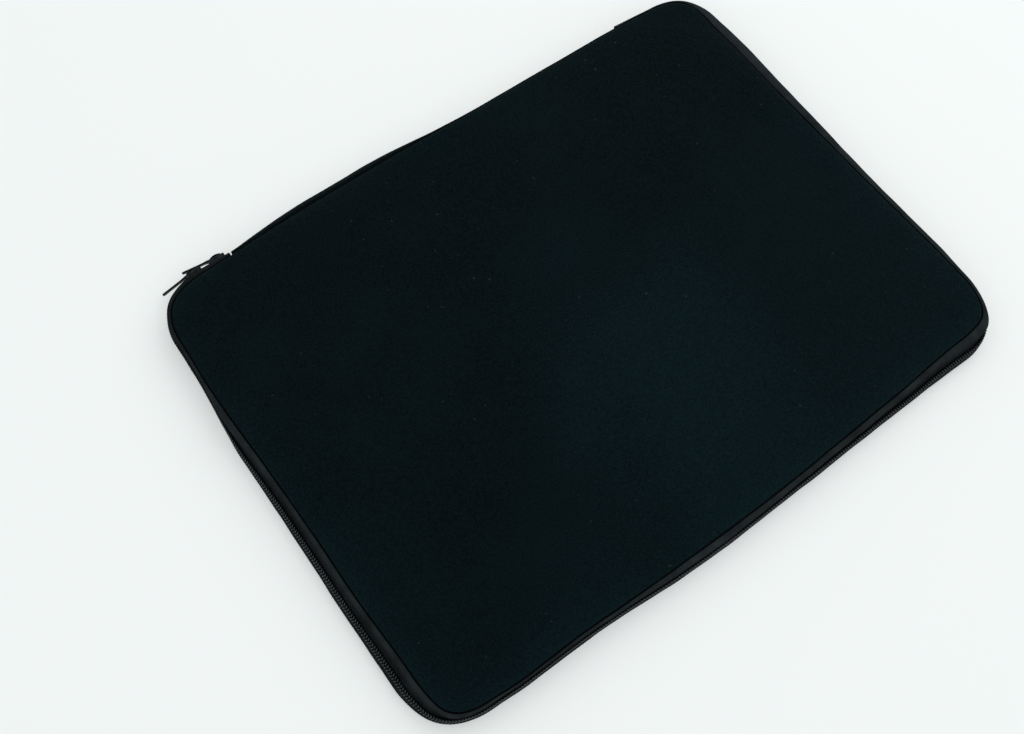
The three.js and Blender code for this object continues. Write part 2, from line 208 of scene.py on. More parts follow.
class Outline:
    """The zip's closed outline, with the seam's inset all along it, read by the distance along it."""

    def __init__(self):
        base, normals, self.starts = self.cad_outline()
        seam, swell, twist = self.edge_values(base)
        points = base + normals * swell[:, None]
        closed = np.vstack([points, points[:1]])
        self.s = np.concatenate([[0], np.cumsum(np.linalg.norm(np.diff(closed, axis=0), axis=1))])
        self.length = self.s[-1]
        self.points = closed
        self.seam = np.append(seam, seam[0])
        self.twist = np.radians(np.append(twist, twist[0]))

    @staticmethod
    def cad_outline():
        """Dense points and normals of the CAD outline, from the right end of the spine side."""
        x, y = WIDTH / 2, DEPTH / 2
        half_x, half_y = x - CORNER_RADIUS, y - CORNER_RADIUS
        parts = [
            Outline.side((0, y), (0, 1), half_x, 0),
            Outline.corner(-half_x, half_y, 90),
            Outline.side((-x, 0), (-1, 0), half_y, LEFT_BOW),
            Outline.corner(-half_x, -half_y, 180),
            Outline.side((0, -y), (0, -1), half_x, NEAR_BOW),
            Outline.corner(half_x, -half_y, 270),
            Outline.side((x, 0), (1, 0), half_y, 0),
            Outline.corner(half_x, half_y, 0),
        ]
        starts = np.cumsum([0] + [len(points) for points, _ in parts])
        points, normals = (np.vstack([part[k] for part in parts]) for k in (0, 1))
        return points, normals, starts

    @staticmethod
    def side(middle, out, half, bow):
        out = np.array(out, float)
        along = np.array([-out[1], out[0]])
        t = np.linspace(-1, 1, round(2 * half / OUTLINE_STEP), endpoint=False)[:, None]
        points = np.array(middle) + along * t * half + out * bow * (1 + np.cos(math.pi * t)) / 2
        slope = -bow * math.pi * np.sin(math.pi * t) / 2 / half
        normals = out - along * slope
        return points, normals / np.linalg.norm(normals, axis=1)[:, None]

    @staticmethod
    def corner(x, y, start):
        count = round(CORNER_RADIUS * math.pi / 2 / OUTLINE_STEP)
        angle = np.radians(start + np.linspace(0, 90, count, endpoint=False))
        normals = np.stack([np.cos(angle), np.sin(angle)], axis=1)
        return np.array([x, y]) + CORNER_RADIUS * normals, normals

    def edge_values(self, base):
        """The seam's inset, the outline's swell and the zip's twist at each dense point."""
        knots = []
        for start, end, rows in zip(self.starts, self.starts[1:], EDGE_KNOTS.values()):
            knots += [(start + share * (end - start), *values) for share, *values in rows]
        place, *columns = np.array(sorted(knots)).T
        at = np.arange(len(base))
        reach = 4 * KNOT_SMOOTHING
        bell = np.exp(-0.5 * (np.arange(-reach, reach + 1) * OUTLINE_STEP / KNOT_SMOOTHING) ** 2)
        values = []
        for knot_values in columns:
            rough = np.interp(at, place, knot_values, period=len(base))
            wrapped = np.concatenate([rough[-reach:], rough, rough[:reach]])
            values.append(np.convolve(wrapped, bell / bell.sum(), mode="valid"))
        return values

    def at(self, s):
        """(points, outward normals, seam insets) at distances along the outline."""
        s = np.asarray(s, float)
        near = 0.6  # how far apart the tangent is measured

        def place(where):
            where = where % self.length
            return np.stack([np.interp(where, self.s, self.points[:, k]) for k in (0, 1)], axis=1)

        tangent = place(s + near) - place(s - near)
        tangent /= np.linalg.norm(tangent, axis=1)[:, None]
        normals = np.stack([tangent[:, 1], -tangent[:, 0]], axis=1)
        seam = np.interp(s % self.length, self.s, self.seam)
        return place(s), normals, seam

    def twist_at(self, s):
        return np.interp(s % self.length, self.s, self.twist)

    def spine_distance(self, x):
        """The distance along the outline of a point on the spine side."""
        spine = self.points[: self.starts[1]]
        return float(np.interp(-x, -spine[:, 0], self.s[: len(spine)]))


outline = Outline()
zip_start = outline.spine_distance(ZIP_END_LEFT)
zip_length = outline.length + outline.spine_distance(ZIP_END_RIGHT) - zip_start
zip_places = zip_start + np.linspace(0, zip_length, round(zip_length / STATION_STEP) + 1)


def twisted(inset, height, twist):
    """Insets and heights after the zip's twist, which turns the outer face of the chain upward."""
    out = inset - TWIST_CENTRE
    centre = TWIST_CENTRE + TWIST_SHIFT * np.abs(np.sin(twist))
    turned_inset = centre + out * np.cos(twist) + height * np.sin(twist)
    return turned_inset, height * np.cos(twist) - out * np.sin(twist)


def wall_points(places, inset, height, side):
    """Points at insets and heights, one row a place; side is 1 for the front half and -1 for the back."""
    points, normals, _ = outline.at(places)
    height = np.broadcast_to(height, inset.shape)
    flat = points[:, None, :] - normals[:, None, :] * inset[:, :, None]
    return np.concatenate([flat, (MID_HEIGHT + side * height)[:, :, None]], axis=2)


def chain_path(places, inset, height, side):
    """A path along the zip chain, from an inset and a height at each place."""
    inset, height = twisted(inset, height, side * outline.twist_at(places))
    return wall_points(places, inset[:, None], height[:, None], side)[:, 0]


# ---- materials --------------------------------------------------------------------------------------


class Shader:
    """A node material on the Principled shader, built up a node at a time."""

    def __init__(self, name, roughness, specular=0.5, metallic=0.0):
        self.material = bpy.data.materials.new(name)
        self.material.use_nodes = True
        self.tree = self.material.node_tree
        self.surface = self.tree.nodes["Principled BSDF"]
        self.put(self.surface, Roughness=roughness, Metallic=metallic)
        self.put(self.surface, **{"Specular IOR Level": specular})

    def put(self, node, **inputs):
        for name, value in inputs.items():
            socket = node.inputs[int(name[1:])] if name[0] == "_" else node.inputs[name]
            if isinstance(value, bpy.types.NodeSocket):
                self.tree.links.new(value, socket)
            else:
                socket.default_value = value

    def node(self, kind, output=0, settings=None, **inputs):
        made = self.tree.nodes.new(kind)
        for name, value in (settings or {}).items():
            setattr(made, name, value)
        self.put(made, **inputs)
        return made.outputs[output]

    def math(self, operation, first, second=0.0):
        return self.node("ShaderNodeMath", settings={"operation": operation}, _0=first, _1=second)

    def coordinates(self, kind="Object"):
        place = self.tree.nodes.new("ShaderNodeTexCoord").outputs[kind]
        apart = self.tree.nodes.new("ShaderNodeSeparateXYZ")
        self.tree.links.new(place, apart.inputs[0])
        return place, apart.outputs[0], apart.outputs[1]

    def noise(self, place, size, detail=2.0, roughness=0.5):
        """Noise whose patches are about that many millimetres across."""
        inputs = {"Vector": place, "Scale": 1 / (size * MM), "Detail": detail, "Roughness": roughness}
        return self.node("ShaderNodeTexNoise", **inputs)

    def ripple(self, coordinate, period, shift=0.0):
        """A sine of the coordinate, from 0 to 1, with that many millimetres to a wave."""
        turned = self.math("MULTIPLY_ADD", coordinate, 2 * math.pi / (period * MM))
        turned.node.inputs[2].default_value = shift
        wave = self.math("MULTIPLY_ADD", self.math("SINE", turned), 0.5)
        wave.node.inputs[2].default_value = 0.5
        return wave

    def spread(self, value, low, high, to_low=0.0, to_high=1.0):
        inputs = {"Value": value, "From Min": low, "From Max": high, "To Min": to_low, "To Max": to_high}
        return self.node("ShaderNodeMapRange", **inputs)

    def mix(self, share, first, second):
        settings = {"data_type": "RGBA"}
        return self.node("ShaderNodeMix", 2, settings, _0=share, _6=first, _7=second)

    def upward(self, low, high):
        """0 where the surface faces down or sideways, 1 where it faces up: the mask for painted light on
        top and painted shade on the sides.
        """
        normal = self.node("ShaderNodeTexCoord", output=1)
        return self.spread(self.node("ShaderNodeSeparateXYZ", output=2, Vector=normal), low, high)

    def scale(self, colour, factor):
        return self.node("ShaderNodeVectorMath", settings={"operation": "SCALE"}, _0=colour, Scale=factor)

    def bump(self, height, depth, strength=1.0):
        """Raises the surface by a height of 0 to 1 times a depth in millimetres."""
        inputs = {"Height": height, "Distance": depth * MM, "Strength": strength}
        self.put(self.surface, Normal=self.node("ShaderNodeBump", **inputs))


def grey(level, tint=(1, 1, 1)):
    return (level * tint[0], level * tint[1], level * tint[2], 1)


BLUISH = (0.22, 0.82, 1.02)
COOL = (0.42, 0.92, 1.08)
NEUTRAL = (0.74, 0.97, 1.08)
PAINTED_LIGHT_SLOPE = (0.3, -2.3)  # painted light: how much the panel pales per metre along x and y, a soft gradient standing in for the lamps
PAINTED_SHEEN_CENTRE = (10, -45)  # the middle of the painted sheen, a paler bluish patch standing in for light reflected off the panel
PAINTED_SHEEN_RADII = (80, 115)
PAINTED_SHEEN_GAIN = 0.42
EDGE_HIGHLIGHT_GAIN = 0.65  # painted highlight: how much paler the panel is at its rolled edge, where the roll catches the light
EDGE_HIGHLIGHT_FADE = 4
GRIME_ENDS = (55, 95)  # the tape is grimy up to here and clean from there
GRIME = 0.55
OUTER_FACE_HIGHLIGHT_FROM = (0.6, 0.84)  # the shares of outwardness over which the coil turns pale with its painted highlight


def face_fabric_material():
    """Matt black jersey: fine knit, slow bluish mottling under a painted light gradient and a painted
    sheen patch, a painted highlight at its rolled edges, with specks of lint.
    """
    light_slope_x, light_slope_y = PAINTED_LIGHT_SLOPE
    shader = Shader("face_fabric", roughness=0.95, specular=0.05)
    place, x, y = shader.coordinates()
    # painted light: a gradient across the panel, paler towards -y and a little towards +x
    slope = shader.math("ADD", shader.math("MULTIPLY", x, light_slope_x), shader.math("MULTIPLY", y, light_slope_y))
    slow = shader.math("ADD", shader.noise(place, 95, detail=1.0), shader.noise(place, 34, detail=3.0))
    mottle_and_light_slope = shader.spread(shader.math("ADD", slow, slope), 0.8, 1.24)
    grain = shader.spread(shader.noise(place, 1.0, detail=3.0, roughness=0.7), 0.32, 0.68)
    colour = shader.mix(mottle_and_light_slope, grey(0.0035, BLUISH), grey(0.0078, BLUISH))
    rough_grain = shader.mix(0.5, colour, shader.mix(grain, grey(0.001, BLUISH), grey(0.016, BLUISH)))
    lint = shader.spread(shader.noise(place, 2.2, detail=0.0), 0.86, 0.88)
    # painted highlight: paler towards the seam, where the rolled edge catches the light; the UV holds the
    # depth from the seam
    _, _, depth = shader.coordinates("UV")
    into = shader.math("DIVIDE", depth, EDGE_HIGHLIGHT_FADE * MM)
    edge = shader.math("DIVIDE", EDGE_HIGHLIGHT_GAIN, shader.math("ADD", 1.0, into))
    # painted sheen: a soft paler patch in object coordinates, standing in for reflected light; the back
    # panel and the spine strip share this material and carry it too
    squares = []
    for coordinate, centre, radius in zip((x, y), PAINTED_SHEEN_CENTRE, PAINTED_SHEEN_RADII):
        share = shader.math("DIVIDE", shader.math("SUBTRACT", coordinate, centre * MM), radius * MM)
        squares.append(shader.math("POWER", share, 2))
    painted_sheen = shader.spread(shader.math("ADD", *squares), 0, 1, PAINTED_SHEEN_GAIN, 0)
    painted_sheen.node.interpolation_type = "SMOOTHSTEP"
    # painted light: the painted sheen and the painted edge highlight brighten the colour
    painted_light_gain = shader.math("ADD", shader.math("ADD", painted_sheen, 1.0), edge)
    colour = shader.mix(lint, shader.scale(rough_grain, painted_light_gain), grey(0.022, NEUTRAL))
    columns = shader.ripple(x, 0.9)
    courses = shader.ripple(y, 0.62, 1.3)
    knit = shader.math("MULTIPLY", columns, courses)
    shader.put(shader.surface, **{"Base Color": colour, "Sheen Weight": 0.012, "Sheen Roughness": 0.5})
    shader.bump(shader.math("ADD", knit, grain), 0.08)
    return shader.material


def tape_material():
    """Woven polyester tape: a fine twill, paler than the panels but grimy where the sliders stand, with
    painted shade where it faces sideways or down.
    """
    shader = Shader("zip_tape", roughness=0.9, specular=0.05)
    place, along, across = shader.coordinates("UV")
    diagonal = shader.math("ADD", along, across)
    twill = shader.ripple(diagonal, 0.8)
    warp = shader.ripple(across, 0.45)
    weave = shader.math("MULTIPLY", twill, warp)
    worn = shader.spread(shader.noise(place, 12, detail=5.0, roughness=0.65), 0.32, 0.68)
    cloth = shader.mix(worn, grey(0.014, NEUTRAL), grey(0.034, NEUTRAL))
    colour = shader.mix(shader.spread(weave, 0, 1, 0, 0.6), cloth, grey(0.006, NEUTRAL))
    # painted shade: darker where the tape faces sideways or down, to as little as 0.15 of its colour
    colour = shader.scale(colour, shader.spread(shader.upward(0.15, 0.75), 0, 1, 0.15, 1))
    grimy, clean = (place * MM for place in GRIME_ENDS)
    colour = shader.scale(colour, shader.spread(along, grimy, clean, GRIME, 1))
    shader.put(shader.surface, **{"Base Color": colour})
    shader.bump(weave, 0.08)
    return shader.material


def coil_material():
    """Satin black nylon filament, with a painted highlight: pale on the outer face of the chain, most
    where that face looks up.
    """
    shader = Shader("zip_coil", roughness=0.38, specular=0.25)
    place, _, _ = shader.coordinates()
    _, _, outward = shader.coordinates("UV")
    tone = shader.spread(shader.noise(place, 6), 0.35, 0.65)
    # the pale colour of the painted highlight, varied a little by tone noise
    wear_and_highlight = shader.mix(tone, grey(0.045, NEUTRAL), grey(0.075, NEUTRAL))
    dark, worn = (share * MM for share in OUTER_FACE_HIGHLIGHT_FROM)
    # painted highlight: pale on the chain's outer face, stronger where it faces up; elsewhere the
    # filament keeps its black
    pale = shader.math("MULTIPLY", shader.spread(outward, dark, worn), shader.upward(-0.2, 0.6))
    colour = shader.mix(pale, grey(0.003, COOL), wear_and_highlight)
    shader.put(shader.surface, **{"Base Color": colour})
    return shader.material


def thread_material():
    """Black sewing thread with a fine twist."""
    shader = Shader("thread", roughness=0.85, specular=0.1)
    _, x, y = shader.coordinates()
    twist = shader.ripple(shader.math("ADD", x, y), 0.3)
    shader.put(shader.surface, **{"Base Color": shader.mix(twist, grey(0.002, COOL), grey(0.006, COOL))})
    shader.bump(twist, 0.04)
    return shader.material


def lining_material():
    """Brushed jersey inside the sleeve."""
    shader = Shader("lining", roughness=1.0, specular=0.05)
    place, x, _ = shader.coordinates()
    nap = shader.noise(place, 1.4, detail=4.0, roughness=0.7)
    rows = shader.ripple(x, 1.3)
    shade = shader.spread(shader.math("ADD", nap, shader.math("MULTIPLY", rows, 0.12)), 0.35, 0.8)
    colour = shader.mix(shade, grey(0.009, NEUTRAL), grey(0.026, NEUTRAL))
    shader.put(shader.surface, **{"Base Color": colour, "Sheen Weight": 0.06, "Sheen Roughness": 0.5})
    shader.bump(nap, 0.25)
    return shader.material


def foam_material():
    """Closed-cell neoprene, pitted where it is cut."""
    shader = Shader("foam", roughness=0.95, specular=0.1)
    place, _, _ = shader.coordinates()
    cells = shader.node("ShaderNodeTexVoronoi", **{"Vector": place, "Scale": 1 / (0.7 * MM)})
    shade = shader.mix(shader.spread(cells, 0.1, 0.7), grey(0.005, COOL), grey(0.014, COOL))
    shader.put(shader.surface, **{"Base Color": shade})
    shader.bump(cells, 0.12)
    return shader.material


def binding_material():
    """Ribbed binding tape over the raw edges inside."""
    shader = Shader("binding", roughness=0.8, specular=0.15)
    _, along, across = shader.coordinates("UV")
    ribs = shader.ripple(along, 1.1)
    edge = shader.ripple(across, 0.6)
    weave = shader.math("ADD", shader.math("MULTIPLY", ribs, 0.8), shader.math("MULTIPLY", edge, 0.2))
    colour = shader.mix(weave, grey(0.009, NEUTRAL), grey(0.024, NEUTRAL))
    shader.put(shader.surface, **{"Base Color": colour})
    shader.bump(weave, 0.15)
    return shader.material


def slider_material():
    """Dark lacquered zinc, worn grey in patches and at its edges where fingers wear it, with painted
    shade on faces that don't look up.
    """
    shader = Shader("slider_metal", roughness=0.4, specular=0.08, metallic=0.25)
    place, _, _ = shader.coordinates()
    patches = shader.noise(place, 2.6, detail=4.0, roughness=0.65)
    edges = shader.node("ShaderNodeNewGeometry", output=7)
    wear_and_highlight = shader.spread(edges, 0.5, 0.62)
    wear = shader.spread(shader.math("ADD", patches, shader.math("MULTIPLY", wear_and_highlight, 0.25)), 0.5, 0.68)
    colour = shader.mix(wear, grey(0.0015, NEUTRAL), grey(0.024, NEUTRAL))
    # painted shade: faces that don't look up are darkened to as little as 0.12 of their colour, so the
    # tops read lighter
    colour = shader.scale(colour, shader.spread(shader.upward(0.6, 1.0), 0, 1, 0.12, 1))
    scratches = shader.noise(place, 0.6, detail=3.0)
    shader.put(shader.surface, **{"Base Color": colour})
    shader.put(shader.surface, Roughness=shader.spread(scratches, 0.3, 0.7, 0.3, 0.55))
    shader.bump(scratches, 0.03)
    return shader.material


def floor_material():
    """A plain pale sweep, glowing a little so that it reads as nearly white."""
    shader = Shader("floor", roughness=1.0, specular=0.0)
    shader.put(shader.surface, **{"Base Color": (0.73, 0.765, 0.76, 1)})
    shader.put(shader.surface, **{"Emission Color": (0.98, 1, 1, 1), "Emission Strength": 0.285})
    shader.material.cycles.emission_sampling = "NONE"
    return shader.material


MATERIALS = {
    "face_fabric": face_fabric_material(),
    "zip_tape": tape_material(),
    "zip_coil": coil_material(),
    "thread": thread_material(),
    "lining": lining_material(),
    "foam": foam_material(),
    "binding": binding_material(),
    "slider_metal": slider_material(),
}


# ---- how pieces ride --------------------------------------------------------------------------------


def stand_for(piece, node):
    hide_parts(node)
    return piece


def bend_with_zip(piece):
    """Bakes the piece's place into its mesh; it is not made to bend, though on the sleeve the zip's two
    halves part along the sides and stay together near the spine, sharing the turn.
    """
    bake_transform(piece)


def bend_with_spine(piece):
    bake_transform(piece)


HALVES = {"front": 1, "back": -1}


# ---- the zip ----------------------------------------------------------------------------------------


def tape_face(places, side, inward, share):
    """Insets and heights at shares of the way up the tape's face, from behind the coil to the seam.

    It is a cubic curve that sets out the way the chain faces, bellies out and ends flat at the seam.
    """
    _, _, seam = outline.at(places)
    twist = side * outline.twist_at(places)
    foot_inset, foot_height = twisted(TAPE_FOOT_INSET + inward, TAPE_FOOT_HEIGHT, twist)
    end = seam - SEAM_GAP
    top = TAPE_HALF_HEIGHT - inward
    rise = ROUND_HANDLE * (top - foot_height)
    run = ROUND_HANDLE * np.maximum(end - foot_inset, 0.2)
    lean = 1.3 * twist
    first = foot_inset + rise * np.sin(lean)
    plain = end - run
    if side > 0:
        bellied = (8 * (BELLY["front"] + inward) - foot_inset - 3 * first - end) / 3
        second = plain + (bellied - plain) * (1 - smoothstep(*BELLY_TWISTS, twist))
    else:
        belly = BELLY["back"] + inward - BELLY_SWELL * np.maximum(-np.sin(twist), 0) ** 1.5
        second = (8 * belly - foot_inset - 3 * first - end) / 3
    insets = [foot_inset, first, second, end]
    heights = [foot_height, foot_height + rise * np.cos(lean), top + 0 * end, top + 0 * end]
    weights = [(1 - share) ** 3, 3 * share * (1 - share) ** 2, 3 * share**2 * (1 - share), share**3]
    return (sum(w * v[:, None] for w, v in zip(weights, values)) for values in (insets, heights))


def tape_section(places, side, inward):
    """The tape's face and its end, which turns down at the seam and runs on under the panel."""
    _, _, seam = outline.at(places)
    inset, height = tape_face(places, side, inward, np.linspace(0, 1, 12))
    tail_depth = np.array([-0.25, -0.18, -0.15, 0.9]) - inward * np.array([0.75, 0.8, 0.8, 0])
    tail_height = np.array([5.75, 5.2, 4.4, 4.1]) - inward * np.array([1.1, 0.9, 0.8, 0.9])
    tail_inset = seam[:, None] + tail_depth
    tail_height = np.broadcast_to(tail_height, tail_inset.shape)
    return np.hstack([inset, tail_inset]), np.hstack([height, tail_height])


def sweep_band(name, places, inset, height, side, material):
    """A closed band from one section a place; each section is a closed loop of insets and heights."""
    rows, columns = inset.shape
    grid = wall_points(places, inset, height, side)
    faces = [*strip_faces(rows, columns, closed_columns=True)]
    faces += [np.arange(columns), (rows - 1) * columns + np.arange(columns)[::-1]]
    across = np.cumsum(np.hypot(*np.diff([inset[0], height[0]], axis=1, prepend=0)))
    along = places - places[0]
    uvs = np.stack(np.broadcast_arrays(along[:, None], across[None, :]), axis=2)
    return make_piece(name, grid.reshape(-1, 3), faces, material, uvs.reshape(-1, 2))


def soft_waves(places, size, seed):
    """A slow uneven wave along the outline, of about that many millimetres."""
    rng = np.random.default_rng(seed)
    wave = np.zeros(len(places))
    for length in (83, 47, 29, 17):
        wave += math.sqrt(length / 83) * np.sin(2 * math.pi * places / length + rng.uniform(0, 6.3))
    return size * wave / 2


def add_zip_tape(half, side):
    outer_inset, outer_height = tape_section(zip_places, side, 0)
    inner_inset, inner_height = tape_section(zip_places, side, TAPE_THICKNESS)
    belly = np.sin(np.linspace(0, math.pi, outer_inset.shape[1]))
    wave = soft_waves(zip_places, 0.16, 3 + side)[:, None] * belly
    inset = np.hstack([outer_inset + wave, (inner_inset + wave)[:, ::-1]])
    height = np.hstack([outer_height, inner_height[:, ::-1]])
    tape = sweep_band(f"{half}_woven_tape", zip_places, inset, height, side, MATERIALS["zip_tape"])
    stand_for(tape, f"{half}_zip_tape")
    bend_with_zip(tape)


def tube(path, across, radius, sides):
    """Points and quads of a round tube: across is a direction near right angles to it at each point."""
    tangent = np.gradient(path, axis=0)
    tangent /= np.linalg.norm(tangent, axis=1)[:, None]
    first = across - (across * tangent).sum(axis=1)[:, None] * tangent
    first /= np.linalg.norm(first, axis=1)[:, None]
    second = np.cross(tangent, first)
    angle = 2 * math.pi * np.arange(sides) / sides
    radius = np.broadcast_to(radius, len(path))
    ring = np.cos(angle)[None, :, None] * first[:, None] + np.sin(angle)[None, :, None] * second[:, None]
    points = path[:, None] + ring * radius[:, None, None]
    faces = [*strip_faces(len(path), sides, closed_columns=True)]
    faces += [np.arange(sides)[::-1], (len(path) - 1) * sides + np.arange(sides)]
    return points.reshape(-1, 3), faces


def add_zip_coil(half, side):
    steps = 10
    turns = int(zip_length / TOOTH_PITCH) - 1
    turn = np.arange(turns * steps) / steps
    places = zip_start + 0.5 * TOOTH_PITCH + (turn + (0.5 if side < 0 else 0)) * TOOTH_PITCH
    angle = 2 * math.pi * turn
    squarish = np.sign(np.cos(angle)) * np.abs(np.cos(angle)) ** 0.8
    inset = COIL_CENTRE[0] + COIL_RADII[0] * squarish
    height = COIL_CENTRE[1] + COIL_RADII[1] * np.sin(angle)
    path = chain_path(places, inset, height, side)
    centre = chain_path(places, COIL_CENTRE[0] + 0 * inset, COIL_CENTRE[1] + 0 * inset, side)
    sides = 5
    points, faces = tube(path, path - centre, FILAMENT_RADIUS, sides)
    round_tube = 0.5 + 0.5 * np.cos(2 * math.pi * np.arange(sides) / sides)
    # how far each point of the filament faces out of the chain, which the coil material paints pale as a
    # highlight
    outward = np.outer((1 - squarish) / 2, round_tube).ravel()
    uvs = np.column_stack([0 * outward, outward])
    coil = make_piece(f"{half}_coil_turns", points, faces, MATERIALS["zip_coil"], uvs)
    stand_for(coil, f"{half}_zip_coil")
    bend_with_zip(coil)


def add_filler_cord(half, side):
    still = 0 * zip_places
    path = chain_path(zip_places, COIL_CENTRE[0] + still, COIL_CENTRE[1] + still, side)
    upright = np.broadcast_to([0.0, 0.0, 1.0], path.shape)
    points, faces = tube(path, upright, CORD_RADIUS, 6)
    cord = make_piece(f"{half}_filler_cord", points, faces, MATERIALS["thread"])
    stand_for(cord, f"{half}_coil_cord")
    bend_with_zip(cord)


def stitch_row(name, places, inset, height, side, radius):
    """Separate stitches that dip into the cloth at each end; inset and height are read at the places."""
    share = np.array([-0.5, -0.32, 0.0, 0.32, 0.5])
    swell = np.array([0.35, 0.9, 1.0, 0.9, 0.35])
    dip = np.array([0.35, 0.06, 0.0, 0.06, 0.35])
    count = int((places[-1] - places[0]) / STITCH_PITCH)
    points, faces = [], []
    for k in range(count):
        at = places[0] + (k + 0.5) * STITCH_PITCH + share * STITCH_LENGTH
        across = np.interp(at, places, inset)[:, None]
        up = np.interp(at, places, height)[:, None] - dip[:, None]
        path = wall_points(at, across, up, side)[:, 0]
        upright = np.broadcast_to([0.0, 0.0, 1.0], path.shape)
        more_points, more_faces = tube(path, upright, radius * swell, 6)
        faces += [face + len(points) * len(more_points) for face in more_faces]
        points.append(more_points)
    return make_piece(name, np.vstack(points), faces, MATERIALS["thread"])


def add_tape_stitches(half, side):
    """The row of stitches that holds the coil to its tape."""
    inset, height = tape_face(zip_places, side, 0, np.array([0.3]))
    name = f"{half}_coil_stitches"
    row = stitch_row(name, zip_places, inset[:, 0], height[:, 0], side, COIL_THREAD_RADIUS)
    bend_with_zip(row)


def add_seam_stitches(half, side):
    places = np.arange(0, outline.length, STATION_STEP)
    _, _, seam = outline.at(places)
    inset = seam + SEAM_THREAD_DEPTH
    height = np.full(len(places), SEAM_THREAD_HEIGHT)
    row = stitch_row(f"{half}_seam_stitches", places, inset, height, side, SEAM_THREAD_RADIUS)
    stand_for(row, f"{half}_seam_thread")
    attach(row, f"{half}_half")


# ---- the padded panels ------------------------------------------------------------------------------


class Patch:
    """The flat middle of a panel: its rim is the ring of stations at PATCH_DEPTH, inside it a grid."""

    def __init__(self):
        count = round(outline.length / STATION_STEP)
        self.places = np.linspace(0, outline.length, count, endpoint=False)
        rim_points, normals, seam = outline.at(self.places)
        self.rim = rim_points - normals * (seam + PATCH_DEPTH)[:, None]
        low = np.floor(self.rim.min(axis=0) / GRID_STEP) * GRID_STEP
        high = np.ceil(self.rim.max(axis=0) / GRID_STEP) * GRID_STEP
        xs, ys = (np.arange(low[k], high[k] + 1, GRID_STEP) for k in (0, 1))
        grid = np.stack(np.meshgrid(xs, ys, indexing="ij"), axis=2).reshape(-1, 2)
        self.inside = grid[self.contains(grid)]
        to_rim = np.linalg.norm(self.inside[:, None] - self.rim[None], axis=2)
        self.inside_depth = PATCH_DEPTH + to_rim.min(axis=1)
        vertices = [Vector(p) for p in np.vstack([self.rim, self.inside])]
        edges = [(i, (i + 1) % count) for i in range(count)]
        made = delaunay_2d_cdt(vertices, edges, [list(range(count))], 1, 1e-5)
        self.faces = np.array(made[2])

    def contains(self, grid):
        """Which grid points lie well inside the rim."""
        margin = 0.6 * GRID_STEP
        edge = np.roll(self.rim, -1, axis=0) - self.rim
        keep = np.ones(len(grid), bool)
        winding = np.zeros(len(grid))
        for start, step in zip(self.rim, edge):
            to_point = grid - start
            share = np.clip(to_point @ step / (step @ step), 0, 1)
            near = np.linalg.norm(to_point - share[:, None] * step, axis=1)
            keep &= near > margin
            end = to_point - step
            cross = to_point[:, 0] * end[:, 1] - to_point[:, 1] * end[:, 0]
            winding += np.arctan2(cross, (to_point * end).sum(axis=1))
        return keep & (np.abs(winding) > math.pi)


patch = Patch()


class Puff:
    """How far the front panel's cloth stands off its flat height, simulated on a coarse sheet."""

    def __init__(self):
        self.low = np.array([-WIDTH / 2 - GRID_STEP, -DEPTH / 2 - 2 * GRID_STEP])
        self.low = np.floor(self.low / GRID_STEP) * GRID_STEP
        size = np.ceil(-2 * self.low / GRID_STEP).astype(int) + 3
        self.rise = np.zeros(size)
        self.simulate()

    def simulate(self):
        """Pins the sheet along the seam, makes it a little too large and blows it up gently."""
        depths = range(0, PATCH_DEPTH, 4)
        points, normals, seam = outline.at(patch.places)
        rings = [points - normals * (seam + depth)[:, None] for depth in depths]
        flat = np.vstack([*rings, patch.rim, patch.inside])
        count = len(patch.places)
        faces = [*strip_faces(len(depths) + 1, count, closed_columns=True)]
        faces += [face + len(depths) * count for face in patch.faces]
        heights = np.zeros((len(flat), 1))
        sheet = make_piece("puff_sheet", np.hstack([flat, heights]), faces, MATERIALS["face_fabric"])
        pinned = sheet.vertex_groups.new(name="pinned")
        pinned.add(list(range(count)), 1.0, "REPLACE")
        cloth = sheet.modifiers.new("Cloth", "CLOTH")
        settings = cloth.settings
        settings.quality = 6
        settings.mass = 0.4
        settings.tension_stiffness = 25
        settings.compression_stiffness = 25
        settings.bending_stiffness = 2.5
        settings.vertex_group_mass = "pinned"
        settings.shrink_min = -0.004
        settings.use_pressure = True
        settings.uniform_pressure_force = 0.35
        settings.effector_weights.gravity = 0
        cloth.point_cache.frame_end = PUFF_STEPS
        for step in range(1, PUFF_STEPS + 1):
            bpy.context.scene.frame_set(step)
        evaluated = sheet.evaluated_get(bpy.context.evaluated_depsgraph_get())
        moved = np.zeros(len(flat) * 3, np.float32)
        evaluated.data.vertices.foreach_get("co", moved)
        bpy.context.scene.frame_set(1)
        bpy.data.objects.remove(sheet)
        rise = moved.reshape(-1, 3)[:, 2] / MM
        self.gather(flat, np.sign(rise.mean() or 1) * rise)

    def gather(self, flat, rise):
        """Reads the simulated heights onto a regular grid, with the limit taken softly."""
        rise = PUFF_LIMIT * np.tanh(rise / PUFF_LIMIT)
        weight = np.zeros_like(self.rise)
        total = np.zeros_like(self.rise)
        cell = np.rint((flat - self.low) / GRID_STEP).astype(int)
        np.add.at(weight, (cell[:, 0], cell[:, 1]), 1)
        np.add.at(total, (cell[:, 0], cell[:, 1]), rise)
        self.rise = np.divide(total, weight, out=np.zeros_like(total), where=weight > 0)

    def at(self, flat):
        """The rise at points of the plan, in millimetres."""
        spot = (flat - self.low) / GRID_STEP
        cell = np.clip(np.floor(spot).astype(int), 0, np.array(self.rise.shape) - 2)
        u, v = (spot - cell).T
        i, j = cell.T
        near = (1 - u) * ((1 - v) * self.rise[i, j] + v * self.rise[i, j + 1])
        far = u * ((1 - v) * self.rise[i + 1, j] + v * self.rise[i + 1, j + 1])
        return near + far


puff = Puff()


